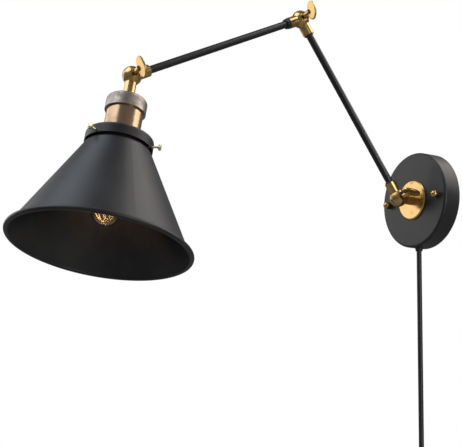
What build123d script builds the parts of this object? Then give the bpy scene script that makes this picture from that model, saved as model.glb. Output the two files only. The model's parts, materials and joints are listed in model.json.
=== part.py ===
from build123d import *
import os
from math import cos, pi, radians, sin, sqrt, tan

# Swing arm wall sconce, millimetres.
# Origin: centre of the canopy's back face, which lies on the wall (the plane y = 0).
# +Z is up, -Y points out of the wall and +X is to the right of someone who faces the wall.

# ---------------------------------------------------------------- driving dimensions
# wall plate
CANOPY_DIAMETER = 120.0
CANOPY_DEPTH = 23.0
CANOPY_WALL = 1.5
CANOPY_EDGE_RADIUS = 3.0
BRACKET_THICKNESS = 2.0
BRACKET_WIDTH = 20.0
BRACKET_END_GAP = 5.0
WALL_SCREW_SPACING = 88.9
WALL_SLOT_WIDTH = 5.0
WALL_SLOT_LENGTH = 11.0
STUD_SPACING = 92.0
STUD_DIAMETER = 4.0
STUD_THREAD_IN_NUT = 4.0
STUD_COLLAR_RADIUS = 3.6
STUD_COLLAR_LENGTH = 2.4
CAP_NUT_DIAMETER = 9.0
CAP_NUT_SKIRT = 5.0
GROUND_SCREW_OFFSET = 24.0
GROUND_SCREW_HEAD_RADIUS = 4.0
GROUND_SCREW_HEAD_HEIGHT = 2.4
ESCUTCHEON_DIAMETER = 50.0
ESCUTCHEON_THICKNESS = 3.0
ESCUTCHEON_BEVEL = 1.4

# split ball joints
BALL_RADIUS = 11.0
BALL_CLEARANCE = 0.4
JOINT_GAP = 1.0
FRICTION_WASHER_RADIUS = 8.8
NECK_RADIUS = 7.0
NECK_LENGTH = 22.0
SLIM_NECK_RADIUS = 6.5
HEAD_NECK_LENGTH = 24.0
SOCKET_START = 14.0
NIPPLE_RADIUS = 4.9
NIPPLE_BORE_RADIUS = 3.2
SHOULDER_REACH = 23.2

# wing screws
SCREW_RADIUS = 2.5
SCREW_TIP = 8.0
COUNTERBORE_RADIUS = 6.0
COUNTERBORE_FLOOR = 6.0
WING_FLANGE_RADIUS = 5.0
WING_FLANGE_THICKNESS = 1.2
WING_BOSS_RADIUS = 3.6
WING_CENTRE = 25.5
WING_LENGTH = 24.0
WING_WIDTH = 16.0
WING_THICKNESS = 2.6
SHOULDER_WING_ANGLE = 78.0
ELBOW_WING_ANGLE = 9.0
HEAD_WING_ANGLE = 20.0

# arms, pivot to pivot, how far their plane is swivelled about the canopy's axis, and their
# elevations above the horizontal within that plane
LOWER_ARM = 254.0
UPPER_ARM = 260.0
BASE_SWIVEL = -8.0
LOWER_ELEVATION = 59.9
UPPER_ELEVATION = -27.7
HEAD_ELEVATION = -78.5
TUBE_RADIUS = 4.4
TUBE_WALL = 0.9
WIRE_RADIUS = 2.3
RING_RADIUS = 5.8
RING_LENGTH = 1.8
ELBOW_RING_RADIUS = 6.3
ELBOW_RING_LENGTH = 4.5

# lamp head, as distances from the head pivot along the shade's axis
LOCK_NUT_RADIUS = 7.4
LOCK_NUT_LENGTH = 4.1
CAP_OVERHANG = 2.5
CAP_DOME_HEIGHT = 6.0
CAP_BAND_HEIGHT = 12.0
CAP_TOP_RADIUS = 11.0
CAP_WALL = 1.2
SOCKET_RADIUS = 20.0
SOCKET_WALL = 1.0
SOCKET_INSERT = 9.0
SOCKET_EXPOSED = 30.5
SOCKET_THREAD = 5.5
INSULATOR_LENGTH = 20.0
SCREW_SHELL_RADIUS = 14.2
SCREW_SHELL_WALL = 0.8
SCREW_SHELL_LENGTH = 24.0
SCREW_SHELL_INSERT = 8.0
CONTACT_RADIUS = 4.0
CONTACT_THICKNESS = 1.0
FITTER_GAP = 1.3
FITTER_WALL = 1.2
FITTER_PLATE = 1.5
FITTER_HEIGHT = 12.0
FITTER_EDGE_RADIUS = 3.0
LOCK_RING_GAP = 3.5
LOCK_RING_LENGTH = 3.5

# shade
SHADE_WALL = 1.0
SHADE_NECK_RADIUS = 32.5
SHADE_LIP_WIDTH = 2.0
SHADE_LIP_THICKNESS = 1.4
SHADE_NECK_LENGTH = 11.0
SHADE_SHOULDER_RADIUS = 36.3
SHADE_SHOULDER_HEIGHT = 3.5
SHADE_MOUTH_RADIUS = 94.0
SHADE_CONE_LENGTH = 109.0
SHADE_BEAD_RADIUS = 2.6

# thumbscrews
THUMB_COUNT = 3
THUMB_PHASE = 65.0
THUMB_SHANK_RADIUS = 1.25
THUMB_HEAD_RADIUS = 3.4
THUMB_HEAD_LENGTH = 2.4
THUMB_STANDOFF = 6.5
THUMB_DROP = 8.5

# bulb
BULB_BASE_LENGTH = 22.0
BULB_TIP_LENGTH = 3.0
BULB_NECK_RADIUS = 12.6
BULB_GLASS_RADIUS = 17.0
BULB_GLASS_WALL = 0.8
BULB_NECK_LENGTH = 8.0
BULB_FLARE_LENGTH = 14.0
BULB_GLASS_LENGTH = 102.0
FILAMENT_STEM_RADIUS = 2.6
FILAMENT_STEM_LENGTH = 62.0
FILAMENT_CAGE_RADIUS = 6.5
FILAMENT_CAGE_LENGTH = 44.0
FILAMENT_WIRE_RADIUS = 0.4
FILAMENT_HUB_THICKNESS = 1.2
FILAMENT_HUB_RADIUS = 7.6
FILAMENT_STRANDS = 6

# cord, inline switch, coil and plug
CORD_RADIUS = 3.1
CORD_FROM_WALL = 14.0
CORD_INSIDE = 20.0
CONDUCTOR_RADIUS = 1.0
CONDUCTOR_OFFSET = 1.2
CONDUCTOR_BEND = 3.0
BUSHING_NECK_RADIUS = 4.0
BUSHING_BODY_RADIUS = 5.2
BUSHING_INSIDE = 14.0
BUSHING_OUTSIDE = 4.0
BUSHING_TIP_RADIUS = 4.2
SWITCH_TOP = 335.0
SWITCH_LENGTH = 60.0
SWITCH_WIDTH = 22.0
SWITCH_DEPTH = 18.0
SWITCH_WALL = 2.0
SWITCH_END_WALL = 6.0
SWITCH_ROUNDING = 4.0
ROCKER_LENGTH = 16.0
ROCKER_WIDTH = 10.0
ROCKER_PROUD = 1.6
ROCKER_DEPTH = 1.0
ROCKER_TRUNNION_RADIUS = 1.0
ROCKER_TRUNNION_REACH = 1.4
COIL_RADIUS = 37.2
COIL_TURNS = 6
COIL_DROP = 60.0
TIE_WIDTH = 8.0
TIE_THICKNESS = 1.2
TAIL_LENGTH = 80.0
PLUG_WIDTH = 24.0
PLUG_DEPTH = 16.0
PLUG_LENGTH = 24.0
PLUG_RELIEF_LENGTH = 22.0
PLUG_ROUNDING = 3.0
BLADE_SPACING = 12.7
BLADE_LENGTH = 17.0
BLADE_WIDTH = 6.4
BLADE_THICKNESS = 1.5

# clearances
STUD_CLEARANCE = 0.25
SWIVEL_CLEARANCE = 0.3
FACE_CLEARANCE = 0.1
THREAD_CLEARANCE = 0.05
BORE_CLEARANCE = 0.3
BULB_CLEARANCE = 0.1
ROCKER_CLEARANCE = 0.4
TRUNNION_CLEARANCE = 0.2
TIE_CLEARANCE = 0.3

# ---------------------------------------------------------------- derived places
WIRE_START = BALL_RADIUS + BALL_CLEARANCE + BORE_CLEARANCE
CANOPY_RADIUS = CANOPY_DIAMETER / 2
CANOPY_INSIDE = CANOPY_DEPTH - CANOPY_WALL
ESCUTCHEON_FACE = CANOPY_DEPTH + ESCUTCHEON_THICKNESS
SHOULDER_OUT = CANOPY_DEPTH + SHOULDER_REACH
BASE_NECK_LENGTH = SHOULDER_OUT - ESCUTCHEON_FACE - FACE_CLEARANCE
NIPPLE_NUT_RADIUS = NIPPLE_RADIUS + 3.2
NIPPLE_NUT_THICKNESS = 3.0
NIPPLE_WASHER_THICKNESS = 1.0
NIPPLE_TAIL = 4.0

CAP_RADIUS = SOCKET_RADIUS + CAP_OVERHANG
CAP_TOP = HEAD_NECK_LENGTH + LOCK_NUT_LENGTH
CAP_SHOULDER = CAP_TOP + CAP_DOME_HEIGHT
CAP_END = CAP_SHOULDER + CAP_BAND_HEIGHT
SHELL_START = CAP_END - SOCKET_INSERT
FITTER_TOP = CAP_END + SOCKET_EXPOSED
FITTER_UNDER = FITTER_TOP + FITTER_PLATE
SHELL_END = FITTER_TOP + SOCKET_THREAD
FITTER_RADIUS = SHADE_NECK_RADIUS + SHADE_LIP_WIDTH + FITTER_GAP + FITTER_WALL
INSULATOR_TOP = SHELL_START + 1.0
INSULATOR_FACE = INSULATOR_TOP + INSULATOR_LENGTH
SCREW_SHELL_START = INSULATOR_FACE - SCREW_SHELL_INSERT
SHADE_SHOULDER = FITTER_UNDER + SHADE_NECK_LENGTH
SHADE_CONE_START = SHADE_SHOULDER + SHADE_SHOULDER_HEIGHT
SHADE_MOUTH = SHADE_CONE_START + SHADE_CONE_LENGTH
BULB_START = SCREW_SHELL_START + CONTACT_THICKNESS + BULB_CLEARANCE
BULB_BASE_END = BULB_START + BULB_TIP_LENGTH + BULB_BASE_LENGTH
BULB_BASE_RADIUS = SCREW_SHELL_RADIUS - SCREW_SHELL_WALL - BULB_CLEARANCE

CORD_Y = -CORD_FROM_WALL
COIL_TOP = SWITCH_TOP + SWITCH_LENGTH + COIL_DROP
COIL_CENTRE_X = -COIL_RADIUS
COIL_LENGTH = (COIL_TURNS + 1) * 2 * CORD_RADIUS
TAIL_Y = CORD_Y - COIL_TURNS * 2 * CORD_RADIUS
PLUG_TOP = COIL_TOP + TAIL_LENGTH

LOW = (Align.CENTER, Align.CENTER, Align.MIN)


# ---------------------------------------------------------------- frames
def direction(elevation):
    """Unit vector in the arms' plane at an elevation above the plane's level line."""
    rise = sin(radians(elevation))
    swivel = radians(BASE_SWIVEL)
    return Vector(rise * sin(swivel), -cos(radians(elevation)), rise * cos(swivel))


def hinge_axis():
    """Unit vector square to the arms' plane, along X when the plane stands upright."""
    return Vector(cos(radians(BASE_SWIVEL)), 0, -sin(radians(BASE_SWIVEL)))


def link(pivot, elevation):
    """Frame with its origin on a pivot, Z along the link and X along the hinge axis."""
    return Plane(origin=pivot, x_dir=hinge_axis(), z_dir=direction(elevation))


WALL = Plane(origin=(0, 0, 0), x_dir=(1, 0, 0), z_dir=(0, -1, 0))
SHOULDER = Vector(0, -SHOULDER_OUT, 0)
ELBOW = SHOULDER + direction(LOWER_ELEVATION) * LOWER_ARM
HEAD = ELBOW + direction(UPPER_ELEVATION) * UPPER_ARM
BASE_LINK = link(SHOULDER, 180)
LOWER_LINK = link(SHOULDER, LOWER_ELEVATION)
LOWER_LINK_BACK = link(ELBOW, LOWER_ELEVATION + 180)
UPPER_LINK = link(ELBOW, UPPER_ELEVATION)
UPPER_LINK_BACK = link(HEAD, UPPER_ELEVATION + 180)
HEAD_LINK = link(HEAD, HEAD_ELEVATION)


# ---------------------------------------------------------------- shapes used again and again
def rod(radius, start, end):
    """Round bar along Z."""
    return Pos(0, 0, start) * Cylinder(radius, end - start, align=LOW)


def pipe(outer, inner, start, end):
    """Round tube along Z."""
    return rod(outer, start, end) - rod(inner, start, end)


def cross_rod(radius, start, end):
    """Round bar along X."""
    return Rot(0, 90, 0) * rod(radius, start, end)


def turned(points):
    """Solid turned about Z from an outline of (radius, height) points."""
    outline = Plane.XZ * make_face(Polyline(*points, close=True))
    return revolve(outline, Axis.Z)


# ---------------------------------------------------------------- wall plate
def canopy():
    """Spun cup with a small edge radius, open towards the wall."""
    cup = rod(CANOPY_RADIUS, 0, CANOPY_DEPTH)
    cup = fillet(cup.edges().group_by(Axis.Z)[-1], CANOPY_EDGE_RADIUS)
    hollow = rod(CANOPY_RADIUS - CANOPY_WALL, 0, CANOPY_INSIDE)
    hollow = fillet(hollow.edges().group_by(Axis.Z)[-1], CANOPY_EDGE_RADIUS - CANOPY_WALL)
    cup -= hollow
    cup -= rod(NIPPLE_RADIUS + SWIVEL_CLEARANCE, 0, CANOPY_DEPTH)
    for side in (-1, 1):
        cup -= Pos(side * STUD_SPACING / 2, 0, 0) * rod(STUD_DIAMETER / 2 + STUD_CLEARANCE, 0, CANOPY_DEPTH)
    cup -= Pos(0, 0, CORD_FROM_WALL) * Rot(90, 0, 0) * rod(BUSHING_NECK_RADIUS, 0, CANOPY_RADIUS)
    return WALL * cup


def mounting_bracket():
    """Cross of two straps: slots for the wall screws on the upright, tapped holes on the other."""
    reach = CANOPY_DIAMETER - 2 * (CANOPY_WALL + BRACKET_END_GAP)
    plate = Box(reach, BRACKET_WIDTH, BRACKET_THICKNESS, align=LOW)
    plate += Box(BRACKET_WIDTH, reach, BRACKET_THICKNESS, align=LOW)
    slot = Rot(0, 0, 90) * SlotOverall(WALL_SLOT_LENGTH, WALL_SLOT_WIDTH)
    for side in (-1, 1):
        plate -= Pos(0, side * WALL_SCREW_SPACING / 2, 0) * extrude(slot, BRACKET_THICKNESS)
        hole = rod(STUD_DIAMETER / 2 + THREAD_CLEARANCE, 0, BRACKET_THICKNESS)
        plate -= Pos(side * STUD_SPACING / 2, 0, 0) * hole
    plate -= Pos(GROUND_SCREW_OFFSET, 0, 0) * rod(STUD_DIAMETER / 2, 0, BRACKET_THICKNESS)
    return WALL * plate


def bracket_stud(side):
    """Threaded stud with a collar that stands on the bracket and holds the canopy on one side."""
    stud = rod(STUD_DIAMETER / 2, 0, CANOPY_DEPTH + STUD_THREAD_IN_NUT)
    stud += rod(STUD_COLLAR_RADIUS, BRACKET_THICKNESS, BRACKET_THICKNESS + STUD_COLLAR_LENGTH)
    return WALL * (Pos(side * STUD_SPACING / 2, 0, 0) * stud)


def cap_nuts():
    """Two ball cap nuts on the canopy's face, each a ball on a short skirt."""
    radius = CAP_NUT_DIAMETER / 2
    nut = rod(radius, 0, CAP_NUT_SKIRT) + Pos(0, 0, CAP_NUT_SKIRT) * Sphere(radius)
    nut -= Pos(0, 0, -radius) * Box(CAP_NUT_DIAMETER, CAP_NUT_DIAMETER, CAP_NUT_DIAMETER)
    nut = nut - rod(STUD_DIAMETER / 2, 0, STUD_THREAD_IN_NUT)
    nuts = [Pos(side * STUD_SPACING / 2, 0, CANOPY_DEPTH) * nut for side in (-1, 1)]
    return WALL * Compound(children=nuts)


def ground_screw():
    """Low-headed screw on the bracket."""
    top = BRACKET_THICKNESS + GROUND_SCREW_HEAD_HEIGHT
    screw = rod(STUD_DIAMETER / 2, 0, BRACKET_THICKNESS) + rod(GROUND_SCREW_HEAD_RADIUS, BRACKET_THICKNESS, top)
    return WALL * (Pos(GROUND_SCREW_OFFSET, 0, 0) * screw)


def escutcheon():
    """Disc with a bevelled rim between the canopy and the swivel."""
    disc = rod(ESCUTCHEON_DIAMETER / 2, CANOPY_DEPTH, ESCUTCHEON_FACE)
    disc = chamfer(disc.edges().group_by(Axis.Z)[-1], ESCUTCHEON_BEVEL)
    disc -= rod(NIPPLE_RADIUS + SWIVEL_CLEARANCE, CANOPY_DEPTH, ESCUTCHEON_FACE)
    return WALL * disc


def cord_bushing():
    """Flexible bushing that the cord comes out of, gripped by the hole in the canopy's lower wall."""
    inner = CANOPY_RADIUS - CANOPY_WALL - BUSHING_INSIDE
    outer = CANOPY_RADIUS + BUSHING_OUTSIDE
    body = rod(BUSHING_BODY_RADIUS, inner, CANOPY_RADIUS)
    body += Pos(0, 0, CANOPY_RADIUS - CANOPY_WALL) * Cone(
        BUSHING_BODY_RADIUS, BUSHING_TIP_RADIUS, BUSHING_OUTSIDE + CANOPY_WALL, align=LOW)
    body -= rod(CORD_RADIUS, inner, outer)
    return Pos(0, CORD_Y, 0) * Rot(180, 0, 0) * body - canopy()


# ---------------------------------------------------------------- base swivel
def base_nipple():
    """Hollow threaded stem through the canopy and the disc into the base half ball."""
    return BASE_LINK * pipe(NIPPLE_RADIUS, NIPPLE_BORE_RADIUS, SOCKET_START, SHOULDER_OUT - nipple_end())


def nipple_end():
    """Distance of the nipple's inner end from the wall."""
    stack = NIPPLE_WASHER_THICKNESS + NIPPLE_NUT_THICKNESS + NIPPLE_TAIL
    return CANOPY_INSIDE - FACE_CLEARANCE - stack


def nipple_washer():
    """Flat washer inside the canopy."""
    top = CANOPY_INSIDE - FACE_CLEARANCE
    return WALL * pipe(NIPPLE_NUT_RADIUS + 1.5, NIPPLE_RADIUS, top - NIPPLE_WASHER_THICKNESS, top)


def nipple_nut():
    """Hexagon nut that holds the swivel on the canopy."""
    top = CANOPY_INSIDE - FACE_CLEARANCE - NIPPLE_WASHER_THICKNESS
    nut = extrude(RegularPolygon(NIPPLE_NUT_RADIUS, 6), NIPPLE_NUT_THICKNESS)
    nut = Pos(0, 0, top - NIPPLE_NUT_THICKNESS) * nut
    return WALL * (nut - rod(NIPPLE_RADIUS, 0, top))


# ---------------------------------------------------------------- split ball joints
def half_space(side):
    """Box that covers everything on one side of the joint's gap, large enough for a ball."""
    size = 2 * (BALL_RADIUS + BALL_CLEARANCE) + 1
    return Pos(side * (JOINT_GAP + size) / 2, 0, 0) * Box(size, size, size)


def half_ball(side, neck_radius, neck_length, socket_radius, passage_radius):
    """Half of a split ball with its neck along +Z; side is the side of the hinge axis it lies on.

    Side -1 holds the screw's thread. Side +1 has a clear hole and a counterbore for its flange.
    Both are cut at -X, and side +1 is then mirrored.
    """
    neck = rod(neck_radius, 0, neck_length)
    neck -= Sphere(BALL_RADIUS + BALL_CLEARANCE) & (Pos(-JOINT_GAP, 0, 0) * half_space(1))
    half = (Sphere(BALL_RADIUS) & half_space(-1)) + neck
    half -= rod(socket_radius, SOCKET_START, neck_length)
    half -= rod(passage_radius, WIRE_START - BORE_CLEARANCE, SOCKET_START)
    if side < 0:
        return half - cross_rod(SCREW_RADIUS + THREAD_CLEARANCE, -SCREW_TIP - BORE_CLEARANCE, 0)
    half -= cross_rod(SCREW_RADIUS + BORE_CLEARANCE, -BALL_RADIUS, 0)
    half -= cross_rod(COUNTERBORE_RADIUS, -BALL_RADIUS - 1, -COUNTERBORE_FLOOR)
    return mirror(half, about=Plane.YZ)


def friction_washer(pivot):
    """Thin washer between the two halves of a ball."""
    disc = cross_rod(FRICTION_WASHER_RADIUS, -JOINT_GAP / 2, JOINT_GAP / 2 - FACE_CLEARANCE)
    disc -= cross_rod(SCREW_RADIUS + BORE_CLEARANCE, -JOINT_GAP, JOINT_GAP)
    return Pos(pivot) * Rot(0, BASE_SWIVEL, 0) * disc


def wing_screw(pivot, angle):
    """Screw along the hinge axis with a flange, a boss and a flat oval wing, turned by an angle."""
    seat = COUNTERBORE_FLOOR + FACE_CLEARANCE
    screw = cross_rod(SCREW_RADIUS, -SCREW_TIP, seat)
    screw += cross_rod(WING_FLANGE_RADIUS, seat, seat + WING_FLANGE_THICKNESS)
    screw += cross_rod(WING_BOSS_RADIUS, seat, WING_CENTRE - WING_WIDTH / 4)
    wing = extrude(Plane.XZ * Ellipse(WING_WIDTH / 2, WING_LENGTH / 2), WING_THICKNESS / 2, both=True)
    wing = fillet(wing.edges(), WING_THICKNESS / 4)
    screw += Pos(WING_CENTRE, 0, 0) * wing
    return Pos(pivot) * Rot(0, BASE_SWIVEL, 0) * Rot(angle, 0, 0) * screw


# ---------------------------------------------------------------- arms
def arm_tube(frame, length):
    """Tube between the necks of an arm's two half balls."""
    return frame * pipe(TUBE_RADIUS, TUBE_RADIUS - TUBE_WALL, SOCKET_START, length - SOCKET_START)


def arm_wire(frame, length):
    """Sheathed wire inside an arm."""
    return frame * rod(WIRE_RADIUS, WIRE_START, length - WIRE_START)


def arm_ring(frame, radius, length):
    """Ring on the tube against the end of a neck, tapered towards the tube."""
    ring = rod(radius, NECK_LENGTH, NECK_LENGTH + length)
    ring = chamfer(ring.edges().group_by(Axis.Z)[-1], (radius - TUBE_RADIUS) / 2)
    return frame * (ring - rod(TUBE_RADIUS, NECK_LENGTH, NECK_LENGTH + length))


# ---------------------------------------------------------------- lamp head
def head_nipple():
    """Hollow threaded stem that joins the ball's neck, the lock nut and the socket's cap."""
    return HEAD_LINK * pipe(NIPPLE_RADIUS, NIPPLE_BORE_RADIUS, SOCKET_START, CAP_TOP + CAP_WALL + 3)


def head_lock_nut():
    """Round nut between the neck and the socket's cap."""
    return HEAD_LINK * pipe(LOCK_NUT_RADIUS, NIPPLE_RADIUS, HEAD_NECK_LENGTH, CAP_TOP)


def socket_cap():
    """Domed cap: a flat top, a quarter-round dome and a straight band with a bead where they meet."""
    dome = CAP_RADIUS - CAP_TOP_RADIUS
    profile = [Line((NIPPLE_RADIUS, CAP_TOP), (CAP_TOP_RADIUS, CAP_TOP))]
    profile.append(EllipticalCenterArc((CAP_TOP_RADIUS, CAP_SHOULDER), dome, CAP_DOME_HEIGHT,
                                       start_angle=270, arc_size=90))
    profile.append(Polyline((CAP_RADIUS, CAP_SHOULDER), (CAP_RADIUS, CAP_END), (SOCKET_RADIUS, CAP_END),
                            (SOCKET_RADIUS, CAP_SHOULDER)))
    inner_dome = SOCKET_RADIUS - CAP_TOP_RADIUS
    profile.append(EllipticalCenterArc((CAP_TOP_RADIUS, CAP_SHOULDER), inner_dome,
                                       CAP_DOME_HEIGHT - CAP_WALL, start_angle=270, arc_size=90))
    profile.append(Polyline((CAP_TOP_RADIUS, CAP_TOP + CAP_WALL), (NIPPLE_RADIUS, CAP_TOP + CAP_WALL),
                            (NIPPLE_RADIUS, CAP_TOP)))
    cap = revolve(Plane.XZ * make_face(profile), Axis.Z)
    return HEAD_LINK * cap


def socket_shell():
    """Straight metal tube of the lamp socket."""
    return HEAD_LINK * pipe(SOCKET_RADIUS, SOCKET_RADIUS - SOCKET_WALL, SHELL_START, SHELL_END)


def socket_insulator():
    """Ceramic body that fills the top of the socket and holds the screw shell."""
    block = rod(SOCKET_RADIUS - SOCKET_WALL, INSULATOR_TOP, INSULATOR_FACE)
    block -= rod(SCREW_SHELL_RADIUS, SCREW_SHELL_START, INSULATOR_FACE)
    return HEAD_LINK * block


def screw_shell():
    """Thin metal shell that the bulb screws into."""
    end = SCREW_SHELL_START + SCREW_SHELL_LENGTH
    inner = SCREW_SHELL_RADIUS - SCREW_SHELL_WALL
    return HEAD_LINK * pipe(SCREW_SHELL_RADIUS, inner, SCREW_SHELL_START, end)


def centre_contact():
    """Disc that meets the bulb's tip."""
    return HEAD_LINK * rod(CONTACT_RADIUS, SCREW_SHELL_START, SCREW_SHELL_START + CONTACT_THICKNESS)


def fitter():
    """Inverted cup on the socket that holds the shade's neck between three screws."""
    cup = rod(FITTER_RADIUS, FITTER_TOP, FITTER_TOP + FITTER_HEIGHT)
    cup = fillet(cup.edges().group_by(Axis.Z)[0], FITTER_EDGE_RADIUS)
    cup -= rod(FITTER_RADIUS - FITTER_WALL, FITTER_UNDER, FITTER_TOP + FITTER_HEIGHT)
    cup -= rod(SOCKET_RADIUS, FITTER_TOP, FITTER_UNDER)
    for number in range(THUMB_COUNT):
        hole = cross_rod(THUMB_SHANK_RADIUS + THREAD_CLEARANCE, SHADE_NECK_RADIUS, FITTER_RADIUS + 1)
        cup -= thumb_frame(number) * hole
    return HEAD_LINK * cup


def fitter_lock_ring():
    """Ring on the socket's end that clamps the fitter."""
    outer = SHADE_NECK_RADIUS - SHADE_WALL - LOCK_RING_GAP
    return HEAD_LINK * pipe(outer, SOCKET_RADIUS, FITTER_UNDER, FITTER_UNDER + LOCK_RING_LENGTH)


def thumb_frame(number):
    """Place of one thumbscrew, with X pointing outwards along its axis."""
    return Pos(0, 0, FITTER_TOP + THUMB_DROP) * Rot(0, 0, THUMB_PHASE + number * 360 / THUMB_COUNT)


def thumbscrew(number):
    """Thin screw with a flat round head."""
    start = SHADE_NECK_RADIUS + FACE_CLEARANCE
    head = FITTER_RADIUS + THUMB_STANDOFF
    screw = cross_rod(THUMB_SHANK_RADIUS, start, head)
    knob = cross_rod(THUMB_HEAD_RADIUS, head, head + THUMB_HEAD_LENGTH)
    knob = fillet(knob.edges().filter_by(GeomType.CIRCLE), THUMB_HEAD_LENGTH / 6)
    return HEAD_LINK * (thumb_frame(number) * (screw + knob))


def shade():
    """Conical shade: a lip and a neck in the fitter, a shoulder, a straight cone and a rolled rim."""
    slope = (SHADE_MOUTH_RADIUS - SHADE_SHOULDER_RADIUS) / SHADE_CONE_LENGTH
    across = SHADE_WALL * sqrt(1 + slope**2)
    lip = SHADE_NECK_RADIUS + SHADE_LIP_WIDTH
    inner_neck = SHADE_NECK_RADIUS - SHADE_WALL
    cone = turned([
        (inner_neck, FITTER_UNDER), (lip, FITTER_UNDER), (lip, FITTER_UNDER + SHADE_LIP_THICKNESS),
        (SHADE_NECK_RADIUS, FITTER_UNDER + SHADE_LIP_THICKNESS), (SHADE_NECK_RADIUS, SHADE_SHOULDER),
        (SHADE_SHOULDER_RADIUS, SHADE_CONE_START), (SHADE_MOUTH_RADIUS, SHADE_MOUTH),
        (SHADE_MOUTH_RADIUS - across, SHADE_MOUTH), (SHADE_SHOULDER_RADIUS - across, SHADE_CONE_START),
        (inner_neck, SHADE_SHOULDER + SHADE_WALL)])
    bead_centre = SHADE_MOUTH_RADIUS + SHADE_BEAD_RADIUS - across
    cone += revolve(Plane.XZ * Pos(bead_centre, SHADE_MOUTH) * Circle(SHADE_BEAD_RADIUS), Axis.Z)
    return HEAD_LINK * cone


# ---------------------------------------------------------------- bulb
def bulb_base():
    """Screw base with an insulated tip."""
    shoulder = BULB_START + BULB_TIP_LENGTH
    base = turned([(0, BULB_START), (CONTACT_RADIUS, BULB_START), (BULB_BASE_RADIUS, shoulder),
                   (BULB_BASE_RADIUS, BULB_BASE_END), (0, BULB_BASE_END)])
    return HEAD_LINK * base


def bulb_envelope(radius_cut):
    """Solid of the tubular glass, smaller all round by radius_cut: neck, flare, tube and round end."""
    neck = BULB_NECK_RADIUS - radius_cut
    tube = BULB_GLASS_RADIUS - radius_cut
    flare_start = BULB_BASE_END + BULB_NECK_LENGTH
    flare_end = flare_start + BULB_FLARE_LENGTH
    end_centre = BULB_BASE_END + BULB_GLASS_LENGTH - BULB_GLASS_RADIUS
    middle = (flare_start + flare_end) / 2
    lines = [Polyline((0, BULB_BASE_END), (neck, BULB_BASE_END), (neck, flare_start))]
    lines.append(Bezier((neck, flare_start), (neck, middle), (tube, middle), (tube, flare_end)))
    lines.append(Line((tube, flare_end), (tube, end_centre)))
    lines.append(CenterArc((0, end_centre), tube, 0, 90))
    lines.append(Line((0, end_centre + tube), (0, BULB_BASE_END)))
    return revolve(Plane.XZ * make_face(lines), Axis.Z)


def bulb_glass():
    """Thin tubular glass, open where it stands on the screw base."""
    return HEAD_LINK * (bulb_envelope(0) - bulb_envelope(BULB_GLASS_WALL))


def bulb_filament():
    """Glass stem that carries a cage of straight filament strands between two hubs."""
    start = BULB_BASE_END
    tip = start + FILAMENT_STEM_LENGTH
    cage = tip - FILAMENT_CAGE_LENGTH
    inset = FILAMENT_HUB_THICKNESS / 2
    body = rod(FILAMENT_STEM_RADIUS, start, tip)
    body += rod(FILAMENT_HUB_RADIUS, cage, cage + FILAMENT_HUB_THICKNESS)
    body += rod(FILAMENT_HUB_RADIUS, tip - FILAMENT_HUB_THICKNESS, tip)
    for number in range(FILAMENT_STRANDS):
        strand = Pos(FILAMENT_CAGE_RADIUS, 0, 0) * rod(FILAMENT_WIRE_RADIUS, cage + inset, tip - inset)
        body += Rot(0, 0, number * 360 / FILAMENT_STRANDS) * strand
    return HEAD_LINK * body


# ---------------------------------------------------------------- cord, switch, coil, plug
def hanging(radius, top, bottom, y):
    """Straight vertical stretch between two depths below the origin."""
    return Pos(0, y, 0) * rod(radius, -bottom, -top)


def cord_conductors():
    """Two insulated conductors from the cord's end in the canopy up into the swivel's nipple."""
    start = CANOPY_RADIUS - CORD_INSIDE
    near_wall = BRACKET_THICKNESS + 2 * CONDUCTOR_RADIUS + 1
    wires = []
    for side in (-1, 1):
        x = side * CONDUCTOR_OFFSET
        path = FilletPolyline((x, -CORD_FROM_WALL, -start), (x, -CORD_FROM_WALL, -start + 8),
                              (x, -near_wall, -CORD_INSIDE / 2), (x, -near_wall, 0),
                              (x, -nipple_end() - NIPPLE_TAIL, 0), radius=CONDUCTOR_BEND)
        wires.append(sweep(Plane(path @ 0, z_dir=path % 0) * Circle(CONDUCTOR_RADIUS), path=path))
    return Compound(children=wires)


def cord_upper():
    """Cord from inside the canopy straight down to the inline switch."""
    top = CANOPY_RADIUS - CORD_INSIDE
    return hanging(CORD_RADIUS, top, SWITCH_TOP + SWITCH_END_WALL, CORD_Y)


def switch_case():
    """Outer shape of the inline switch less its cavity and the cord's two holes."""
    centre = Pos(0, CORD_Y, -SWITCH_TOP - SWITCH_LENGTH / 2)
    case = fillet(Box(SWITCH_WIDTH, SWITCH_DEPTH, SWITCH_LENGTH).edges(), SWITCH_ROUNDING)
    case -= Box(SWITCH_WIDTH - 2 * SWITCH_WALL, SWITCH_DEPTH - 2 * SWITCH_WALL,
                SWITCH_LENGTH - 2 * SWITCH_END_WALL)
    case -= rod(CORD_RADIUS, -SWITCH_LENGTH, SWITCH_LENGTH)
    return centre * case


def switch_half(side):
    """One shell of the inline switch: side -1 is the front, +1 the back, split on the cord's axis."""
    size = SWITCH_LENGTH + 2
    cut = Pos(0, CORD_Y - side * size / 2, -SWITCH_TOP - SWITCH_LENGTH / 2) * Box(size, size, size)
    return switch_case() - cut


def rocker_pivot():
    """Centre of the rocker, on the inner face of the front shell's wall."""
    return Pos(0, CORD_Y - SWITCH_DEPTH / 2 + SWITCH_WALL, -SWITCH_TOP - SWITCH_LENGTH / 2)


def switch_front():
    """Front shell with the rocker's window and two half-round seats for its trunnions."""
    room = 2 * ROCKER_CLEARANCE
    window = Box(ROCKER_WIDTH + room, 3 * SWITCH_WALL, ROCKER_LENGTH + room)
    seat = cross_rod(ROCKER_TRUNNION_RADIUS + TRUNNION_CLEARANCE, -trunnion_end(), trunnion_end())
    return switch_half(-1) - rocker_pivot() * window - rocker_pivot() * seat


def trunnion_end():
    """Half length over the rocker's trunnions with the clearance beyond them."""
    return ROCKER_WIDTH / 2 + ROCKER_TRUNNION_REACH + ROCKER_CLEARANCE


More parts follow.
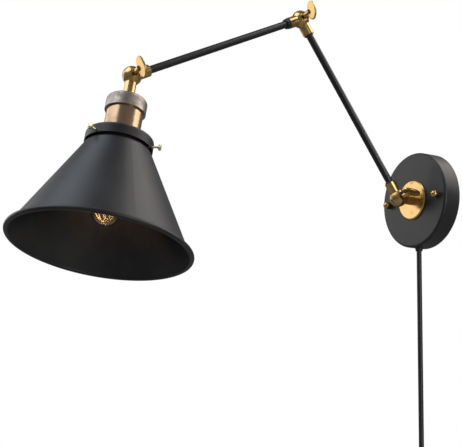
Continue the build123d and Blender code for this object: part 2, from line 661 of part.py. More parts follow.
def switch_rocker():
    """Rocker that tilts about X on two trunnions, slightly hollowed on its face."""
    depth = SWITCH_WALL + ROCKER_PROUD + ROCKER_DEPTH
    body = Pos(0, ROCKER_DEPTH - depth / 2, 0) * Box(ROCKER_WIDTH, depth, ROCKER_LENGTH)
    dish_radius = ROCKER_LENGTH * 1.5
    body -= Pos(0, ROCKER_DEPTH - depth - dish_radius + ROCKER_PROUD / 2, 0) * cross_rod(
        dish_radius, -ROCKER_WIDTH, ROCKER_WIDTH)
    reach = trunnion_end() - ROCKER_CLEARANCE
    body += cross_rod(ROCKER_TRUNNION_RADIUS, -reach, reach)
    return rocker_pivot() * body


def coil_ring():
    """Outer shape of the round coil, its axis along Y, one cord deep in radius."""
    ring = pipe(COIL_RADIUS + CORD_RADIUS, COIL_RADIUS - CORD_RADIUS, 0, COIL_LENGTH)
    return Pos(COIL_CENTRE_X, CORD_Y + CORD_RADIUS, -COIL_TOP) * Rot(90, 0, 0) * ring


def cord_lower():
    """Cord from the inline switch down to the side of the coil."""
    top = SWITCH_TOP + SWITCH_LENGTH - SWITCH_END_WALL
    return hanging(CORD_RADIUS, top, COIL_TOP, CORD_Y) - coil_ring()


def cord_tie():
    """Band round all the turns of the coil, on the side away from the cord."""
    gap = 2 * TIE_CLEARANCE
    inner = Box(2 * CORD_RADIUS + gap, COIL_LENGTH, TIE_WIDTH)
    outer = Box(2 * (CORD_RADIUS + TIE_THICKNESS) + gap, COIL_LENGTH + 2 * TIE_THICKNESS, TIE_WIDTH)
    middle_y = CORD_Y + CORD_RADIUS - COIL_LENGTH / 2
    return Pos(COIL_CENTRE_X - COIL_RADIUS, middle_y, -COIL_TOP) * (outer - inner)


def cord_tail():
    """Cord from the coil down to the plug."""
    return hanging(CORD_RADIUS, COIL_TOP, PLUG_TOP, TAIL_Y) - coil_ring()


def plug_body():
    """Moulded plug with a tapered relief round the cord."""
    relief = Cone(PLUG_DEPTH / 2 - 1, CORD_RADIUS + 1, PLUG_RELIEF_LENGTH, align=LOW)
    grip = Pos(0, 0, -PLUG_LENGTH / 2) * fillet(Box(PLUG_WIDTH, PLUG_DEPTH, PLUG_LENGTH).edges(), PLUG_ROUNDING)
    body = grip + relief - rod(CORD_RADIUS, 0, PLUG_RELIEF_LENGTH)
    return Pos(0, TAIL_Y, -PLUG_TOP) * body


def plug_blades():
    """Two flat blades on the plug's end."""
    blade = Pos(0, 0, -PLUG_LENGTH) * Box(BLADE_THICKNESS, BLADE_WIDTH, BLADE_LENGTH,
                                          align=(Align.CENTER, Align.CENTER, Align.MAX))
    blades = [Pos(side * BLADE_SPACING / 2, TAIL_Y, -PLUG_TOP) * blade for side in (-1, 1)]
    return Compound(children=blades)


# ---------------------------------------------------------------- the whole sconce
def build_nodes():
    """Every node's name and shape."""
    arm = (NECK_RADIUS, NECK_LENGTH, TUBE_RADIUS, WIRE_RADIUS)
    slim = (SLIM_NECK_RADIUS, HEAD_NECK_LENGTH, NIPPLE_RADIUS, NIPPLE_BORE_RADIUS)
    base = (SLIM_NECK_RADIUS, BASE_NECK_LENGTH, NIPPLE_RADIUS, NIPPLE_BORE_RADIUS)
    nodes = {
        "canopy": canopy(),
        "mounting_bracket": mounting_bracket(),
        "bracket_stud_left": bracket_stud(-1),
        "bracket_stud_right": bracket_stud(1),
        "cap_nuts": cap_nuts(),
        "ground_screw": ground_screw(),
        "escutcheon": escutcheon(),
        "cord_bushing": cord_bushing(),
        "base_nipple": base_nipple(),
        "nipple_washer": nipple_washer(),
        "nipple_nut": nipple_nut(),
        "shoulder_base_half": BASE_LINK * half_ball(-1, *base),
        "shoulder_friction_washer": friction_washer(SHOULDER),
        "shoulder_wing_screw": wing_screw(SHOULDER, SHOULDER_WING_ANGLE),
        "shoulder_arm_half": LOWER_LINK * half_ball(1, *arm),
        "lower_arm_ring_bottom": arm_ring(LOWER_LINK, RING_RADIUS, RING_LENGTH),
        "lower_arm_tube": arm_tube(LOWER_LINK, LOWER_ARM),
        "lower_arm_wire": arm_wire(LOWER_LINK, LOWER_ARM),
        "lower_arm_ring_top": arm_ring(LOWER_LINK_BACK, RING_RADIUS, RING_LENGTH),
        "elbow_lower_half": LOWER_LINK_BACK * half_ball(1, *arm),
        "elbow_upper_half": UPPER_LINK * half_ball(-1, *arm),
        "elbow_friction_washer": friction_washer(ELBOW),
        "elbow_wing_screw": wing_screw(ELBOW, ELBOW_WING_ANGLE),
        "upper_arm_ring_elbow": arm_ring(UPPER_LINK, ELBOW_RING_RADIUS, ELBOW_RING_LENGTH),
        "upper_arm_tube": arm_tube(UPPER_LINK, UPPER_ARM),
        "upper_arm_wire": arm_wire(UPPER_LINK, UPPER_ARM),
        "upper_arm_ring_head": arm_ring(UPPER_LINK_BACK, RING_RADIUS, RING_LENGTH),
        "head_arm_half": UPPER_LINK_BACK * half_ball(1, *arm),
        "head_socket_half": HEAD_LINK * half_ball(-1, *slim),
        "head_friction_washer": friction_washer(HEAD),
        "head_wing_screw": wing_screw(HEAD, HEAD_WING_ANGLE),
        "head_nipple": head_nipple(),
        "head_lock_nut": head_lock_nut(),
        "socket_cap": socket_cap(),
        "socket_shell": socket_shell(),
        "socket_insulator": socket_insulator(),
        "screw_shell": screw_shell(),
        "centre_contact": centre_contact(),
        "fitter": fitter(),
        "fitter_lock_ring": fitter_lock_ring(),
        "shade": shade(),
        "bulb_base": bulb_base(),
        "bulb_glass": bulb_glass(),
        "bulb_filament": bulb_filament(),
        "cord_conductors": cord_conductors(),
        "cord_upper": cord_upper(),
        "switch_back": switch_half(1),
        "switch_front": switch_front(),
        "switch_rocker": switch_rocker(),
        "cord_lower": cord_lower(),
        "cord_coil": coil_ring(),
        "cord_tie": cord_tie(),
        "cord_tail": cord_tail(),
        "plug_body": plug_body(),
        "plug_blades": plug_blades(),
    }
    for number in range(THUMB_COUNT):
        nodes[f"thumbscrew_{number + 1}"] = thumbscrew(number)
    return nodes


def cord_length():
    """Length of the whole cord along its middle."""
    straight = SWITCH_TOP - (CANOPY_RADIUS - CORD_INSIDE) + SWITCH_LENGTH + COIL_DROP + TAIL_LENGTH
    return straight + COIL_TURNS * 2 * pi * COIL_RADIUS


os.makedirs("parts", exist_ok=True)
for name, shape in build_nodes().items():
    export_step(shape, f"parts/{name}.step")
print(f"cord length {cord_length():.0f} mm, coil radius {COIL_RADIUS:.1f} mm, cord diameter {2 * CORD_RADIUS:.1f} mm")
print("shoulder", SHOULDER, "elbow", ELBOW, "head", HEAD)
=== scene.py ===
# %% [markdown]
# # A swing arm wall sconce
# The lamp hangs on a wall: a round canopy, two tubes on split ball joints, a brass socket and a
# black cone of a shade, with a cord that drops from the canopy to an inline switch and a plug.
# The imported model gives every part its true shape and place. This lesson keeps those shapes,
# replaces the few that need finer work, such as threads, knurls and the filament, and gives
# every surface a finish made from nodes. Everything is in metres. The wall is the plane y = 0,
# +Z is up and the lamp stands out towards -Y.

import json
import math

import bmesh
import bpy
import numpy as np
from mathutils import Matrix, Vector


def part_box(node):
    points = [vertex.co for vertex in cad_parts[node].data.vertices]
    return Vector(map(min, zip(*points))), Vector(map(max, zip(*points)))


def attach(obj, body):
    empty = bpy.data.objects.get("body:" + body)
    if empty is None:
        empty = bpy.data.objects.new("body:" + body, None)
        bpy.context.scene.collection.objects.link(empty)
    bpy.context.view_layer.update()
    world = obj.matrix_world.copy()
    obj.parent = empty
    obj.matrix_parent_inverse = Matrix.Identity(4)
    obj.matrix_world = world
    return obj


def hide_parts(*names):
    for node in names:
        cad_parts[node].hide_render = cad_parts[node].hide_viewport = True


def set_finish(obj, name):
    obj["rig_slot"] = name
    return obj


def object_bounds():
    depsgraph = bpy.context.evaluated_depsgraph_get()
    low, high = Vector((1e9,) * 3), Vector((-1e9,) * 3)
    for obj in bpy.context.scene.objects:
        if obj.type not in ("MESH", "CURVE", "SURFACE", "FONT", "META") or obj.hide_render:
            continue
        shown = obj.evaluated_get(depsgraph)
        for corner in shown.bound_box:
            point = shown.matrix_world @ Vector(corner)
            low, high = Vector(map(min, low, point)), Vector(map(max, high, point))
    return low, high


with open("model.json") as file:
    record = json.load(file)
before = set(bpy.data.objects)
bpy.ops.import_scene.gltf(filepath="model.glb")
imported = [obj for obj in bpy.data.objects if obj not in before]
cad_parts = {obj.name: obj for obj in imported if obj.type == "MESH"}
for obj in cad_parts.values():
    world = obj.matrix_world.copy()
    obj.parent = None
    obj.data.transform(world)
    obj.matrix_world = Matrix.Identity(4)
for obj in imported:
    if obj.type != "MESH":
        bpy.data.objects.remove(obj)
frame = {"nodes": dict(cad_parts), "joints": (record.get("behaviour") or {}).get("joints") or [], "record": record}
nodes = frame["nodes"]
joints = {joint["name"]: joint for joint in frame["joints"]}
cad_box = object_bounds()
MM = 0.001

# %% [markdown]
# ## The camera
# The lamp is seen from the right and from below, so the canopy shows its side and the shade
# shows its mouth. An azimuth turns the camera about the vertical, 0 looking straight at the
# wall, and a negative elevation puts it below the lamp and looking up. The last turn rolls it
# about its own line of sight. Those three angles give its axes, without any constraint. A small
# shift of the lens then moves the view without turning the camera.

# %% Camera
CAMERA_PLACE = (0.9364, -0.8009, -0.2401)
CAMERA_AZIMUTH = math.radians(61.03)
CAMERA_ELEVATION = math.radians(-9.72)
CAMERA_ROLL = math.radians(1.19)
CAMERA_LENS = 75.6
CAMERA_SHIFT = (-0.0015, 0.0011)


def camera_axes(azimuth, elevation, roll):
    """Right, up and back: back points from the lamp to the camera, right is level before the roll."""
    level = math.cos(elevation)
    back = Vector((math.sin(azimuth) * level, -math.cos(azimuth) * level, math.sin(elevation)))
    right = Vector((math.cos(azimuth), math.sin(azimuth), 0))
    right = right * math.cos(roll) + back.cross(right) * math.sin(roll)
    return right, back.cross(right), back


camera = bpy.data.objects.new("camera", bpy.data.cameras.new("camera"))
bpy.context.scene.collection.objects.link(camera)
bpy.context.scene.camera = camera
camera.data.lens = CAMERA_LENS
camera.data.shift_x, camera.data.shift_y = CAMERA_SHIFT
axes = camera_axes(CAMERA_AZIMUTH, CAMERA_ELEVATION, CAMERA_ROLL)
camera.matrix_world = Matrix.Translation(CAMERA_PLACE) @ Matrix(axes).transposed().to_4x4()
print("camera at", CAMERA_PLACE)

# %% [markdown]
# ## The cord
# The flex is a round black lead, 6.2 mm thick and about 1.9 m long. It leaves the canopy through
# a bushing, hangs straight down by its own weight to the inline switch and runs on below it.
# The length that is not in use is wound into six neat turns, tied, with the plug below them.
# It could be a chain of cylinders, but those kink. One smooth spline bends as the lead does,
# so the run's points and the turns' points all belong to the same NURBS curve.

# %% Cord route
CORD_RADIUS = 3.1 * MM
CORD_Y = -14 * MM
COIL_RADIUS = 37.2 * MM
COIL_TURNS = 6
COIL_Z = -455 * MM
COIL_STEPS = 24
TAIL_Y = CORD_Y - COIL_TURNS * 2 * CORD_RADIUS

run_down = [(0, CORD_Y, z * MM) for z in (-40, -64, -120, -230, -335, -395, -425, -445)]
turn = np.arange(COIL_TURNS * COIL_STEPS + 1) / COIL_STEPS
coil = np.stack([
    COIL_RADIUS * (np.cos(2 * np.pi * turn) - 1),
    CORD_Y - turn * 2 * CORD_RADIUS,
    COIL_Z - COIL_RADIUS * np.sin(2 * np.pi * turn)], axis=1)
run_out = [(0, TAIL_Y, z * MM) for z in (-465, -485, -510, -535)]
route = np.array([*run_down, *coil, *run_out])


# %% Cord curve
def flex(name, points, radius):
    """A round lead whose middle is one open NURBS spline, with the points as its control points.

    The bevel is one metre deep and each point scales it down to the lead's radius.
    """
    data = bpy.data.curves.new(name, "CURVE")
    data.dimensions = "3D"
    data.bevel_depth = 1.0
    data.bevel_resolution = 5
    data.resolution_u = 4
    data.use_fill_caps = True
    spline = data.splines.new("NURBS")
    spline.points.add(len(points) - 1)
    spline.points.foreach_set("co", np.column_stack([points, np.ones(len(points))]).ravel())
    spline.points.foreach_set("radius", np.full(len(points), radius))
    spline.order_u = 3
    spline.use_endpoint_u = True
    made = bpy.data.objects.new(name, data)
    bpy.context.scene.collection.objects.link(made)
    return made


cord = flex("cord", route, CORD_RADIUS)
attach(cord, "wall_plate")
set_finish(cord, "black_cord")
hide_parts("cord_upper", "cord_lower", "cord_coil", "cord_tail")
print("cord points", len(route))

# %% [markdown]
# ## Surfaces from arrays
# Threads, knurls and wires are all surfaces of two parameters: one runs along the piece and one
# runs round it. A grid of numpy points holds such a surface whole, and each square of the grid
# becomes a face. It could be modelled by hand or with a screw modifier, but a formula keeps the
# pitch, the depth and the number of teeth as plain numbers.


# %% Grid to mesh
def surface(name, points, body, slot):
    """Mesh of a grid of points that closes round its second parameter, with both ends capped.

    points[i, j] is the place at step i along the piece and step j round it. Face (i, j) joins it
    to the next step each way. An end whose ring has no width closes in a pole.
    """
    rows, columns = points.shape[:2]
    index = np.arange(rows * columns).reshape(rows, columns)
    beside = np.roll(index, -1, axis=1)
    faces = np.stack([index[:-1], beside[:-1], beside[1:], index[1:]], axis=-1).reshape(-1, 4)
    mesh = bpy.data.meshes.new(name)
    mesh.from_pydata(points.reshape(-1, 3), [], faces.tolist())
    shape = bmesh.new()
    shape.from_mesh(mesh)
    bmesh.ops.remove_doubles(shape, verts=shape.verts, dist=1e-6)
    bmesh.ops.holes_fill(shape, edges=shape.edges, sides=0)
    bmesh.ops.recalc_face_normals(shape, faces=shape.faces)
    shape.to_mesh(mesh)
    shape.free()
    mesh.polygons.foreach_set("use_smooth", np.ones(len(mesh.polygons), bool))
    made = bpy.data.objects.new(name, mesh)
    bpy.context.scene.collection.objects.link(made)
    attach(made, body)
    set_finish(made, slot)
    return made


def turned(start, axis, heights, radii, angles):
    """Grid of points turned about an axis.

    place = start + axis * height + radius * (cosine of the angle * side + sine of the angle * other side).
    heights and radii hold one value for each place of the grid.
    """
    axis = np.array(Vector(axis).normalized())
    side = np.array(Vector(axis).orthogonal().normalized())
    other = np.cross(axis, side)
    ring = np.cos(angles)[..., None] * side + np.sin(angles)[..., None] * other
    return np.array(start) + heights[..., None] * axis + radii[..., None] * ring


# %% Sizes read from the frame
def reach(node, start, axis):
    """How near and how far a part lies along an axis from its start, and its largest distance from it."""
    mesh = nodes[node].data
    place = np.empty(len(mesh.vertices) * 3, np.float32)
    mesh.vertices.foreach_get("co", place)
    place = place.reshape(-1, 3) - np.array(start)
    along = place @ np.array(axis)
    off = np.linalg.norm(place - along[:, None] * np.array(axis), axis=1)
    return along.min(), along.max(), off.max()


LAMP_PIVOT = joints["head_tilt"]["pos_m"]
LAMP_AXIS = np.array(joints["bulb_turn"]["axis"])
LAMP_AXIS = LAMP_AXIS / np.linalg.norm(LAMP_AXIS)
print("shade spans", np.round(reach("shade", LAMP_PIVOT, LAMP_AXIS), 4))

# %% [markdown]
# ## Thumbscrews
# Three small brass screws pass through the fitter and press on the shade's neck. The rim of each
# head is knurled so that fingers can grip it, and the shank has a fine thread. A knurl is a ripple
# in the radius that goes round the head, and a thread is a ripple that climbs as it goes round,
# so one turned surface holds both, with the radius depending on the height and on the angle.

# %% Thumbscrews
KNURL_TEETH = 24
KNURL_DEPTH = 0.22 * MM
THREAD_PITCH = 0.7 * MM
THREAD_DEPTH = 0.25 * MM
SHANK_RADIUS = 1.25 * MM
HEAD_THICKNESS = 2.4 * MM
HEAD_BEVEL = 0.4 * MM


def thumbscrew_grid(start, axis, tip, end, head_radius):
    """Shank radius = full - depth * (1 - cosine of (height / pitch - turn)) / 2, and the head's radius
    = full - depth * (1 - cosine of (teeth * turn)) / 2, less at its bevels."""
    angles = np.linspace(0, 2 * np.pi, KNURL_TEETH * 6, endpoint=False)
    head = end - HEAD_THICKNESS
    shank = np.linspace(tip, head, 64)
    heights = np.concatenate([[tip], shank, [head, head + HEAD_BEVEL, end - HEAD_BEVEL, end, end]])
    heights, angles = np.meshgrid(heights, angles, indexing="ij")
    radii = SHANK_RADIUS - THREAD_DEPTH * (1 - np.cos(2 * np.pi * heights / THREAD_PITCH - angles)) / 2
    rim = head_radius - KNURL_DEPTH * (1 - np.cos(KNURL_TEETH * angles)) / 2
    radii[-5:] = rim[-5:] - HEAD_BEVEL * np.array([1, 0, 0, 1, 0])[:, None]
    radii[0] = 0
    radii[-1] = 0
    return turned(start, axis, heights, radii, angles)


thumbscrews = []
for number in (1, 2, 3):
    joint = joints[f"thumb_{number}_turn"]
    near, far, radius = reach(f"thumbscrew_{number}", joint["pos_m"], joint["axis"])
    screw = surface(f"thumbscrew_knurled_{number}",
                    thumbscrew_grid(joint["pos_m"], joint["axis"], near, far, radius),
                    f"thumb_{number}", "pale_brass")
    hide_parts(f"thumbscrew_{number}")
    thumbscrews.append(screw)
print("thumbscrews", [len(screw.data.polygons) for screw in thumbscrews])

# %% [markdown]
# ## The bulb's screw base
# A medium screw base is a thin nickel-plated sleeve with a rolled, rounded thread of seven turns
# to the inch. Below it come a black glass insulator and a small solder contact. Seen through the
# mouth of the shade only a turn or two shows, but the rolled thread is what tells the eye that
# this is a bulb in a socket, so it is real geometry and not a bump.

# %% Bulb base
BASE_PITCH = 25.4 * MM / 7
BASE_GROOVE = 0.75 * MM
BASE_STEPS = 72
base_near, base_far, base_radius = reach("bulb_base", LAMP_PIVOT, LAMP_AXIS)
SLEEVE_START = base_near + 3 * MM
SLEEVE_PLAIN = 4 * MM


def smooth_step(values, low, high):
    """0 below low, 1 above high, and 3t² - 2t³ between them."""
    part = np.clip((values - low) / (high - low), 0, 1)
    return part * part * (3 - 2 * part)


def sleeve_grid():
    """Radius = full - groove * (1 - cosine of (height / pitch - turn)) / 2, plain near both ends."""
    heights = np.linspace(SLEEVE_START, base_far, 120)
    heights, angles = np.meshgrid(
        heights, np.linspace(0, 2 * np.pi, BASE_STEPS, endpoint=False), indexing="ij")
    ripple = (1 - np.cos(2 * np.pi * heights / BASE_PITCH - angles)) / 2
    threaded = smooth_step(heights, SLEEVE_START, SLEEVE_START + BASE_PITCH)
    threaded = threaded * (1 - smooth_step(heights, base_far - SLEEVE_PLAIN, base_far - SLEEVE_PLAIN / 2))
    return turned(LAMP_PIVOT, LAMP_AXIS, heights, base_radius - BASE_GROOVE * ripple * threaded, angles)


def plain_grid(outline, steps=48):
    """Surface turned from an outline of (height, radius) pairs about the lamp's axis."""
    heights, radii = np.array(outline).T
    heights, angles = np.meshgrid(heights, np.linspace(0, 2 * np.pi, steps, endpoint=False), indexing="ij")
    radii = np.broadcast_to(radii[:, None], heights.shape)
    return turned(LAMP_PIVOT, LAMP_AXIS, heights, radii, angles)


bulb_sleeve = surface("bulb_sleeve", sleeve_grid(), "bulb", "plated_steel")
bulb_insulator = surface("bulb_insulator", plain_grid([
    (SLEEVE_START, 0), (SLEEVE_START, base_radius - 0.2 * MM),
    (SLEEVE_START - 1 * MM, base_radius - 2.5 * MM),
    (base_near + 0.8 * MM, 5.5 * MM), (base_near + 0.8 * MM, 0)]), "bulb", "ceramic")
bulb_contact = surface("bulb_contact", plain_grid([
    (base_near + 1 * MM, 0), (base_near + 1 * MM, 4 * MM), (base_near + 0.4 * MM, 3.6 * MM),
    (base_near, 2 * MM), (base_near, 0)]), "bulb", "zinc_steel")
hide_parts("bulb_base")
print("bulb base from", round(base_near, 4), "to", round(base_far, 4))

# %% [markdown]
# ## The filament
# The bulb is the old-fashioned kind: a long carbon-look filament runs up and down a glass stem in a
# cage of hairpins. Straight rods would do for a lamp that is switched off, but the hairpin
# turns are what shows in the mouth of the shade. The path winds round a cylinder while its height
# follows a rounded zigzag, and a circle is carried along it.

# %% Filament
CAGE_RADIUS = 9.2 * MM
FILAMENT_RADIUS = 0.6 * MM
HAIRPINS = 4
CAGE_SWELL = 0.12
ZIGZAG_ROUNDING = 0.985
_, stem_far, _ = reach("bulb_filament", LAMP_PIVOT, LAMP_AXIS)
CAGE_PAST_STEM = 22 * MM
CAGE_LENGTH = 66 * MM
CAGE_END = stem_far + CAGE_PAST_STEM
CAGE_START = CAGE_END - CAGE_LENGTH


def carried(path, out, radius, sides=8):
    """Tube along a path: place = path + radius * (cosine of the angle * out + sine of the angle * across),
    where across is square to the path's direction and out."""
    along = np.gradient(path, axis=0)
    along /= np.linalg.norm(along, axis=1)[:, None]
    out = out - (out * along).sum(1)[:, None] * along
    out /= np.linalg.norm(out, axis=1)[:, None]
    across = np.cross(along, out)
    angles = np.linspace(0, 2 * np.pi, sides, endpoint=False)[None, :, None]
    return path[:, None] + radius * (np.cos(angles) * out[:, None] + np.sin(angles) * across[:, None])


def lamp_axes():
    """Two directions square to the lamp's axis and to each other."""
    side = np.array(Vector(LAMP_AXIS).orthogonal().normalized())
    return side, np.cross(LAMP_AXIS, side)


def cage_path(steps=600):
    """Angle grows evenly. Height = middle + half the cage * wave, where the wave is a zigzag with
    rounded turns: the arc sine of nearly the whole cosine. The radius swells with the wave."""
    share = np.linspace(0, 1, steps)
    angle = 2 * np.pi * share * (1 - 0.5 / HAIRPINS)
    wave = np.arcsin(ZIGZAG_ROUNDING * np.cos(2 * np.pi * HAIRPINS * share)) / np.arcsin(ZIGZAG_ROUNDING)
    height = (CAGE_START + CAGE_END) / 2 + (CAGE_END - CAGE_START) / 2 * wave
    side, other = lamp_axes()
    out = np.cos(angle)[:, None] * side + np.sin(angle)[:, None] * other
    swell = CAGE_RADIUS * (1 + CAGE_SWELL * wave)
    return np.array(LAMP_PIVOT) + height[:, None] * LAMP_AXIS + swell[:, None] * out, out


filament = surface("filament_cage", carried(*cage_path(), FILAMENT_RADIUS), "bulb", "filament")
stem = surface("filament_stem", plain_grid([
    (base_far - 2 * MM, 0), (base_far - 2 * MM, 6 * MM),
    (base_far + 6 * MM, 4 * MM), (base_far + 16 * MM, 2.2 * MM),
    (stem_far - 4 * MM, 2.0 * MM), (stem_far, 2.8 * MM),
    (stem_far + 2 * MM, 1.6 * MM), (stem_far + 2 * MM, 0)],
    steps=24), "bulb", "bulb_glass")
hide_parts("bulb_filament")
print("filament from", round(CAGE_START, 4), "to", round(CAGE_END, 4))

# %% [markdown]
# ## The strap round the coil
# A hook-and-loop strap holds the turns together, as on any new lead. It is soft, so it bows round the
# bundle and its free end lies over itself. The loop is a rounded rectangle, a superellipse, and its
# cross-section is a thin strip with rounded edges, carried round it once and a bit more.

# %% Strap
STRAP_WIDTH = 7.6 * MM
STRAP_THICKNESS = 0.9 * MM
STRAP_LAP = 0.12
STRAP_SQUARENESS = 0.28
STRAP_INSET = 1.6 * STRAP_THICKNESS
LAP_LIFT = 1.05 * STRAP_THICKNESS
strap_low, strap_high = (np.array(corner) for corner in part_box("cord_tie"))


def signed_power(values, power):
    """The size raised to a power, with the sign kept."""
    return np.sign(values) * np.abs(values) ** power


def strap_grid(steps=160, sides=16):
    """Middle line: x and y are the half widths times cosine and sine, each to a small power. The lap
    lies one thickness further out. The strip: thickness * cosine outwards and half the width * sine
    to a small power along Z."""
    middle = (strap_low + strap_high) / 2
    half = (strap_high - strap_low) / 2 - STRAP_INSET
    turn = np.linspace(0, 1 + STRAP_LAP, steps)
    angle = 2 * np.pi * turn + np.pi / 2
    lift = LAP_LIFT * smooth_step(turn, 1 - STRAP_LAP, 1)
    loop = np.stack([
        (half[0] + lift) * signed_power(np.cos(angle), STRAP_SQUARENESS),
        (half[1] + lift) * signed_power(np.sin(angle), STRAP_SQUARENESS), 0 * turn], axis=1)
    along = np.gradient(loop, axis=0)
    out = np.stack([along[:, 1], -along[:, 0], 0 * turn], axis=1)
    out /= np.linalg.norm(out, axis=1)[:, None]
    strip = np.linspace(0, 2 * np.pi, sides, endpoint=False)
    thick = STRAP_THICKNESS / 2 * signed_power(np.cos(strip), 0.6)
    wide = STRAP_WIDTH / 2 * signed_power(np.sin(strip), 0.35)
    upright = np.array([0, 0, 1.0])
    return middle + loop[:, None] + thick[None, :, None] * out[:, None] + wide[None, :, None] * upright


strap = surface("coil_strap", strap_grid(), "wall_plate", "black_plastic")
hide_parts("cord_tie")
print("strap faces", len(strap.data.polygons))

# %% [markdown]
# ## Finishes from nodes
# A finish is a small graph of nodes. Wiring them one by one hides the idea behind a list of links,
# so a number that changes over a surface is wrapped in a class that knows Python's signs: adding or
# multiplying two of them adds a Math node. Colours are mixed by one method, and any other node
# comes from one method that takes its type, its settings and its sockets.


# %% Shader arithmetic
class Amount:
    """A number that changes over a surface: a socket with Python's arithmetic."""

    def __init__(self, finish, socket):
        self.finish = finish
        self.socket = socket

    def maths(self, operation, *values):
        made = self.finish.node("ShaderNodeMath", {"operation": operation}, dict(enumerate(values)))
        return Amount(self.finish, made.outputs[0])

    def __add__(self, other):
        return self.maths("ADD", self, other)

    def __sub__(self, other):
        return self.maths("SUBTRACT", self, other)

    def __rsub__(self, other):
        return self.maths("SUBTRACT", other, self)

    def __mul__(self, other):
        return self.maths("MULTIPLY", self, other)

    __radd__ = __add__
    __rmul__ = __mul__

    def band(self, low, high):
        """0 below low, 1 above high, and smooth between them."""
        made = self.finish.node("ShaderNodeMapRange", {"interpolation_type": "SMOOTHSTEP"},
                                {"Value": self, "From Min": low, "From Max": high})
        return Amount(self.finish, made.outputs["Result"])


class Finish:
    """A material with a Principled shader, and the steps that its patterns are made with."""

    def __init__(self, name, **constants):
        self.material = bpy.data.materials.new(name)
        self.material.use_nodes = True
        self.tree = self.material.node_tree
        self.shader = self.tree.nodes["Principled BSDF"]
        for socket, value in constants.items():
            self.shader.inputs[socket.replace("_", " ")].default_value = value

    def node(self, kind, settings=None, sockets=None):
        made = self.tree.nodes.new(kind)
        for setting, value in (settings or {}).items():
            setattr(made, setting, value)
        for socket, value in (sockets or {}).items():
            self.feed(made.inputs[socket], value)
        return made

    def feed(self, socket, value):
        """Sets a socket to a number or a colour, or links it to what makes one."""
        value = getattr(value, "socket", value)
        if isinstance(value, bpy.types.NodeSocket):
            self.tree.links.new(value, socket)
        else:
            socket.default_value = value

    def place(self, scale=(1, 1, 1), turn=(0, 0, 0)):
        """Object coordinates in metres, turned and stretched."""
        where = self.node("ShaderNodeTexCoord").outputs["Object"]
        return self.node("ShaderNodeMapping", None, {
            "Vector": where, "Scale": scale, "Rotation": turn}).outputs["Vector"]

    def noise(self, scale, detail=3, where=None):
        """Cloudy noise about 0.5, with this many clouds to the metre."""
        made = self.node("ShaderNodeTexNoise", None, {
            "Vector": where or self.place(), "Scale": scale, "Detail": detail})
        return Amount(self, made.outputs["Fac"])

    def cells(self, scale, where=None):
        """Distance from the middle of each cell of a random pattern."""
        made = self.node("ShaderNodeTexVoronoi", None, {"Vector": where or self.place(), "Scale": scale})
        return Amount(self, made.outputs["Distance"])

    def mix(self, amount, first, second):
        """Colour between two colours."""
        made = self.node("ShaderNodeMix", {"data_type": "RGBA"}, {
            0: amount, 6: (*first, 1) if isinstance(first, tuple) else first,
            7: (*second, 1) if isinstance(second, tuple) else second})
        return made.outputs[2]

    def bump(self, height, depth):
        """Surface normal of a height from 0 to 1 that stands for this many metres."""
        made = self.node("ShaderNodeBump", None, {"Height": height, "Distance": depth, "Strength": 1.0})
        self.feed(self.shader.inputs["Normal"], made.outputs["Normal"])

    def paint(self, colour=None, roughness=None):
        for socket, value in (("Base Color", colour), ("Roughness", roughness)):
            if value is not None:
                self.feed(self.shader.inputs[socket], value)
        return self.material


# %% [markdown]
# ## Black powder coat
# The canopy, the fitter and the shade are steel, sprayed with black powder and baked. The powder
# melts into a satin skin with a faint orange peel, ripples about a millimetre apart and a few
# hundredths deep. Some grains melt less, so the gloss varies a little. A plain grey of one roughness looks
# like plastic, so noise at two sizes moves the roughness, and a third one makes the peel.

# %% Powder coat
BLACK = (0.010, 0.010, 0.012)
SOFT_BLACK = (0.017, 0.017, 0.020)


def powder_coat():
    finish = Finish("powder_coat", Specular_IOR_Level=0.5)
    peel = finish.noise(750, 2)
    drift = finish.noise(30, 2)
    grain = finish.noise(4000, 1)
    finish.bump(peel * 0.8 + grain * 0.2, 0.05 * MM)
    colour = finish.mix(drift.band(0.35, 0.7), BLACK, SOFT_BLACK)
    return finish.paint(colour, 0.36 + 0.10 * drift + 0.04 * grain)


def gloss_tube():
    """Smoother paint on the drawn tubes, with faint lines left along them by the drawing die."""
    finish = Finish("tube_paint", Specular_IOR_Level=0.5)
    peel = finish.noise(420, 2)
    streak = finish.noise(1500, 2, finish.place(scale=(1, 0.05, 0.05)))
    finish.bump(peel * 0.7 + streak * 0.3, 0.02 * MM)
    return finish.paint(finish.mix(peel, BLACK, SOFT_BLACK), 0.24 + 0.12 * streak)


# %% [markdown]
# ## Brass
# The joints, the disc, the nuts and the wings are brass, turned or cast, dulled by hand and lacquered.
# Metal takes its look from what it mirrors, so the colour of the mirror and the width of the
# highlight matter most. A worn antique brass is brown where the patina stays, gold where it is
# rubbed, and has fine marks from the tool. Noise sets how much patina there is, and the patina
# moves the colour and the roughness together, as it does on the real metal.

# %% Brass
GOLD = (0.62, 0.42, 0.175)
PATINA = (0.28, 0.155, 0.055)


def brass(name, bright, dark, rough, patina_scale, tool_scale=(1, 1, 1), patina_share=(0.52, 0.78)):
    finish = Finish(name, Metallic=1.0)
    cloud = finish.noise(patina_scale, 5)
    speck = finish.noise(patina_scale * 9, 3)
    tool = finish.noise(2600, 2, finish.place(scale=tool_scale))
    patina = (cloud * 0.75 + speck * 0.25).band(*patina_share)
    finish.bump(tool * 0.5 + speck * 0.5, 0.025 * MM)
    return finish.paint(finish.mix(patina, bright, dark), rough + 0.16 * patina + 0.06 * tool)


# %% [markdown]
# ## Plain metals
# Zinc plate, nickel plate and solder are not much seen, but a part that is opened or turned
# shows them. Zinc has a grey bloom in patches, nickel is brighter and smoother, and the grounding screw
# is dyed green over its zinc.


